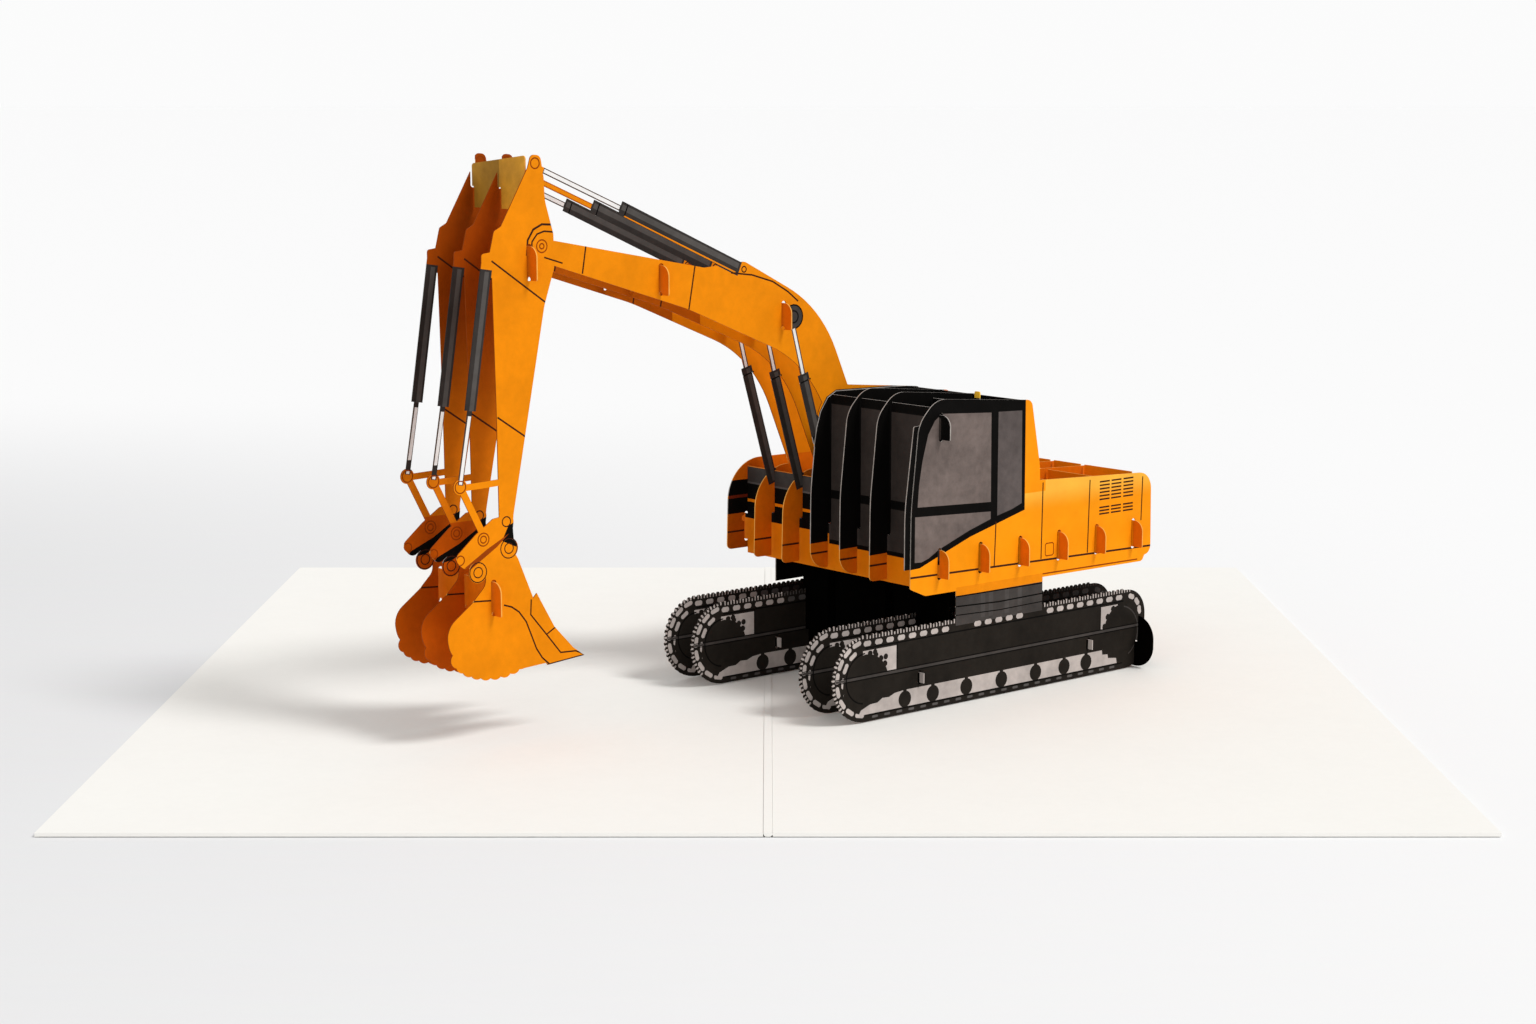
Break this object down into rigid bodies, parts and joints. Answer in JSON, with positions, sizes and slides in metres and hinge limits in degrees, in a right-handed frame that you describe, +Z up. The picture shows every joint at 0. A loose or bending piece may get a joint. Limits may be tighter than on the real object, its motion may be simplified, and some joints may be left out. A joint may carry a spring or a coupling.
{
  "type": "pop-up card with slotted-paper excavator",
  "caption": "Opened greeting card on which an excavator of interlocking upright paper sheets stands and shears flat as the card folds.",
  "frame": {"origin": "centre of the opened card, on its underside", "axes": "+X to the right half of the card, +Y along the crease away from the near edge, +Z up"},
  "size_m": [0.3, 0.3, 0.1364],
  "materials": {
    "card": "matte",
    "orange_print": "matte",
    "dark_print": "matte",
    "mixed_print": "matte"
  },
  "bodies": {
    "right_card": {"right_panel": "card", "crease_bead": "card"},
    "left_card": {"left_panel": "card"},
    "anchor_foot": {"anchor_tab": "dark_print"},
    "near_side": {"near_side_sheet": "mixed_print", "cab_edge_strip": "dark_print"},
    "anchor_cross": {"anchor_slat": "dark_print"},
    "house_cross_1": {"house_slat_1": "mixed_print"},
    "house_cross_2": {"house_slat_2": "mixed_print"},
    "house_cross_3": {"house_slat_3": "mixed_print"},
    "house_cross_4": {"house_slat_4": "orange_print"},
    "house_cross_5": {"house_slat_5": "orange_print"},
    "house_cross_6": {"house_slat_6": "orange_print"},
    "near_tie_front": {"near_track_tie_1": "dark_print"},
    "near_tie_rear": {"near_track_tie_2": "dark_print"},
    "near_track": {"near_track_inner": "dark_print"},
    "frame_cross_1": {"frame_slat_1": "dark_print"},
    "frame_cross_2": {"frame_slat_2": "dark_print"},
    "far_track_in": {"far_track_inner": "dark_print"},
    "far_tie_front": {"far_track_tie_1": "dark_print"},
    "far_tie_rear": {"far_track_tie_2": "dark_print"},
    "far_track_out": {"far_track_outer": "dark_print"},
    "web_1": {"turntable_web_1": "dark_print"},
    "web_2": {"turntable_web_2": "dark_print"},
    "slice_1": {"cab_slice_1": "mixed_print"},
    "slice_2": {"cab_slice_2": "mixed_print"},
    "arm_near": {"arm_sheet_near": "mixed_print"},
    "arm_middle": {"arm_sheet_middle": "mixed_print"},
    "arm_far": {"arm_sheet_far": "mixed_print"},
    "far_side": {"far_side_sheet": "mixed_print"},
    "stick_top_cross": {"stick_top_slat": "orange_print"},
    "stick_pin_cross": {"stick_pin_slat": "orange_print"},
    "boom_middle_cross": {"boom_middle_slat": "orange_print"},
    "boom_bend_cross": {"boom_bend_slat": "orange_print"},
    "bucket_cross": {"bucket_slat": "orange_print"}
  },
  "joints": [
    {"name": "card_fold", "type": "hinge", "parent": "right_card", "child": "left_card", "pos_m": [0, 0, 0.0008], "axis": [0, 1, 0], "range_deg": [0, 140]},
    {"name": "lattice_tilt", "type": "hinge", "parent": "right_card", "child": "anchor_foot", "pos_m": [0.09939, 0.00557, 0.0008], "axis": [0, 1, 0], "range_deg": [0, 70]},
    {"name": "near_side_swing", "type": "hinge", "parent": "anchor_foot", "child": "near_side", "pos_m": [0.09719, 0.00557, 0.0008], "axis": [0, 0, 1], "range_deg": [0, 35]},
    {"name": "anchor_cross_shear", "type": "hinge", "parent": "near_side", "child": "anchor_cross", "pos_m": [0.09719, 0.00557, 0.0008], "axis": [0, 0, 1], "range_deg": [-63, 0]},
    {"name": "house_cross_1_shear", "type": "hinge", "parent": "near_side", "child": "house_cross_1", "pos_m": [0.04188, -0.04084, 0.0008], "axis": [0, 0, 1], "range_deg": [-63, 0]},
    {"name": "house_cross_2_shear", "type": "hinge", "parent": "near_side", "child": "house_cross_2", "pos_m": [0.05261, -0.03184, 0.0008], "axis": [0, 0, 1], "range_deg": [-63, 0]},
    {"name": "house_cross_3_shear", "type": "hinge", "parent": "near_side", "child": "house_cross_3", "pos_m": [0.06333, -0.02284, 0.0008], "axis": [0, 0, 1], "range_deg": [-63, 0]},
    {"name": "house_cross_4_shear", "type": "hinge", "parent": "near_side", "child": "house_cross_4", "pos_m": [0.07405, -0.01384, 0.0008], "axis": [0, 0, 1], "range_deg": [-63, 0]},
    {"name": "house_cross_5_shear", "type": "hinge", "parent": "near_side", "child": "house_cross_5", "pos_m": [0.08478, -0.00484, 0.0008], "axis": [0, 0, 1], "range_deg": [-63, 0]},
    {"name": "house_cross_6_shear", "type": "hinge", "parent": "near_side", "child": "house_cross_6", "pos_m": [0.0955, 0.00416, 0.0008], "axis": [0, 0, 1], "range_deg": [-63, 0]},
    {"name": "near_tie_front_shear", "type": "hinge", "parent": "near_side", "child": "near_tie_front", "pos_m": [0.03705, -0.04489, 0.0008], "axis": [0, 0, 1], "range_deg": [-63, 0]},
    {"name": "near_tie_rear_shear", "type": "hinge", "parent": "near_side", "child": "near_tie_rear", "pos_m": [0.08302, -0.00632, 0.0008], "axis": [0, 0, 1], "range_deg": [-63, 0]},
    {"name": "near_track_shear", "type": "hinge", "parent": "near_tie_front", "child": "near_track", "pos_m": [0.02934, -0.03569, 0.0008], "axis": [0, 0, 1], "range_deg": [0, 63]},
    {"name": "frame_cross_1_shear", "type": "hinge", "parent": "near_track", "child": "frame_cross_1", "pos_m": [0.03739, -0.02894, 0.0008], "axis": [0, 0, 1], "range_deg": [-63, 0]},
    {"name": "frame_cross_2_shear", "type": "hinge", "parent": "near_track", "child": "frame_cross_2", "pos_m": [0.06075, -0.00934, 0.0008], "axis": [0, 0, 1], "range_deg": [-63, 0]},
    {"name": "far_track_in_shear", "type": "hinge", "parent": "frame_cross_1", "child": "far_track_in", "pos_m": [0.01039, 0.00323, 0.0008], "axis": [0, 0, 1], "range_deg": [0, 63]},
    {"name": "far_tie_front_shear", "type": "hinge", "parent": "far_track_in", "child": "far_tie_front", "pos_m": [0.00234, -0.00352, 0.0008], "axis": [0, 0, 1], "range_deg": [-63, 0]},
    {"name": "far_tie_rear_shear", "type": "hinge", "parent": "far_track_in", "child": "far_tie_rear", "pos_m": [0.04831, 0.03505, 0.0008], "axis": [0, 0, 1], "range_deg": [-63, 0]},
    {"name": "far_track_out_shear", "type": "hinge", "parent": "far_tie_front", "child": "far_track_out", "pos_m": [-0.00473, 0.00491, 0.0008], "axis": [0, 0, 1], "range_deg": [0, 63]},
    {"name": "web_1_shear", "type": "hinge", "parent": "frame_cross_1", "child": "web_1", "pos_m": [0.03128, -0.02167, 0.0008], "axis": [0, 0, 1], "range_deg": [0, 63]},
    {"name": "web_2_shear", "type": "hinge", "parent": "frame_cross_1", "child": "web_2", "pos_m": [0.01714, -0.00481, 0.0008], "axis": [0, 0, 1], "range_deg": [0, 63]},
    {"name": "slice_1_shear", "type": "hinge", "parent": "house_cross_1", "child": "slice_1", "pos_m": [0.03018, -0.02689, 0.0008], "axis": [0, 0, 1], "range_deg": [0, 63]},
    {"name": "slice_2_shear", "type": "hinge", "parent": "house_cross_1", "child": "slice_2", "pos_m": [0.02298, -0.01832, 0.0008], "axis": [0, 0, 1], "range_deg": [0, 63]},
    {"name": "arm_near_shear", "type": "hinge", "parent": "house_cross_1", "child": "arm_near", "pos_m": [0.01578, -0.00974, 0.0008], "axis": [0, 0, 1], "range_deg": [0, 63]},
    {"name": "arm_middle_shear", "type": "hinge", "parent": "house_cross_1", "child": "arm_middle", "pos_m": [0.00859, -0.00116, 0.0008], "axis": [0, 0, 1], "range_deg": [0, 63]},
    {"name": "arm_far_shear", "type": "hinge", "parent": "house_cross_1", "child": "arm_far", "pos_m": [0.00138, 0.00742, 0.0008], "axis": [0, 0, 1], "range_deg": [0, 63]},
    {"name": "far_side_shear", "type": "hinge", "parent": "house_cross_1", "child": "far_side", "pos_m": [-0.00581, 0.016, 0.0008], "axis": [0, 0, 1], "range_deg": [0, 63]},
    {"name": "stick_top_cross_shear", "type": "hinge", "parent": "arm_near", "child": "stick_top_cross", "pos_m": [-0.05477, -0.06894, 0.0008], "axis": [0, 0, 1], "range_deg": [-63, 0]},
    {"name": "stick_pin_cross_shear", "type": "hinge", "parent": "arm_near", "child": "stick_pin_cross", "pos_m": [-0.05469, -0.06887, 0.0008], "axis": [0, 0, 1], "range_deg": [-63, 0]},
    {"name": "boom_middle_cross_shear", "type": "hinge", "parent": "arm_near", "child": "boom_middle_cross", "pos_m": [-0.02558, -0.04445, 0.0008], "axis": [0, 0, 1], "range_deg": [-63, 0]},
    {"name": "boom_bend_cross_shear", "type": "hinge", "parent": "arm_near", "child": "boom_bend_cross", "pos_m": [0.00383, -0.01976, 0.0008], "axis": [0, 0, 1], "range_deg": [-63, 0]},
    {"name": "bucket_cross_shear", "type": "hinge", "parent": "arm_near", "child": "bucket_cross", "pos_m": [-0.06335, -0.07614, 0.0008], "axis": [0, 0, 1], "range_deg": [-63, 0]}
  ],
  "couplings": [
    {"joint": "lattice_tilt", "follows": "card_fold", "ratio": 0.5},
    {"joint": "near_side_swing", "follows": "card_fold", "ratio": 0.25},
    {"joint": "anchor_cross_shear", "follows": "card_fold", "ratio": -0.45},
    {"joint": "house_cross_1_shear", "follows": "card_fold", "ratio": -0.45},
    {"joint": "house_cross_2_shear", "follows": "card_fold", "ratio": -0.45},
    {"joint": "house_cross_3_shear", "follows": "card_fold", "ratio": -0.45},
    {"joint": "house_cross_4_shear", "follows": "card_fold", "ratio": -0.45},
    {"joint": "house_cross_5_shear", "follows": "card_fold", "ratio": -0.45},
    {"joint": "house_cross_6_shear", "follows": "card_fold", "ratio": -0.45},
    {"joint": "near_tie_front_shear", "follows": "card_fold", "ratio": -0.45},
    {"joint": "near_tie_rear_shear", "follows": "card_fold", "ratio": -0.45},
    {"joint": "near_track_shear", "follows": "card_fold", "ratio": 0.45},
    {"joint": "frame_cross_1_shear", "follows": "card_fold", "ratio": -0.45},
    {"joint": "frame_cross_2_shear", "follows": "card_fold", "ratio": -0.45},
    {"joint": "far_track_in_shear", "follows": "card_fold", "ratio": 0.45},
    {"joint": "far_tie_front_shear", "follows": "card_fold", "ratio": -0.45},
    {"joint": "far_tie_rear_shear", "follows": "card_fold", "ratio": -0.45},
    {"joint": "far_track_out_shear", "follows": "card_fold", "ratio": 0.45},
    {"joint": "web_1_shear", "follows": "card_fold", "ratio": 0.45},
    {"joint": "web_2_shear", "follows": "card_fold", "ratio": 0.45},
    {"joint": "slice_1_shear", "follows": "card_fold", "ratio": 0.45},
    {"joint": "slice_2_shear", "follows": "card_fold", "ratio": 0.45},
    {"joint": "arm_near_shear", "follows": "card_fold", "ratio": 0.45},
    {"joint": "arm_middle_shear", "follows": "card_fold", "ratio": 0.45},
    {"joint": "arm_far_shear", "follows": "card_fold", "ratio": 0.45},
    {"joint": "far_side_shear", "follows": "card_fold", "ratio": 0.45},
    {"joint": "stick_top_cross_shear", "follows": "card_fold", "ratio": -0.45},
    {"joint": "stick_pin_cross_shear", "follows": "card_fold", "ratio": -0.45},
    {"joint": "boom_middle_cross_shear", "follows": "card_fold", "ratio": -0.45},
    {"joint": "boom_bend_cross_shear", "follows": "card_fold", "ratio": -0.45},
    {"joint": "bucket_cross_shear", "follows": "card_fold", "ratio": -0.45}
  ]
}
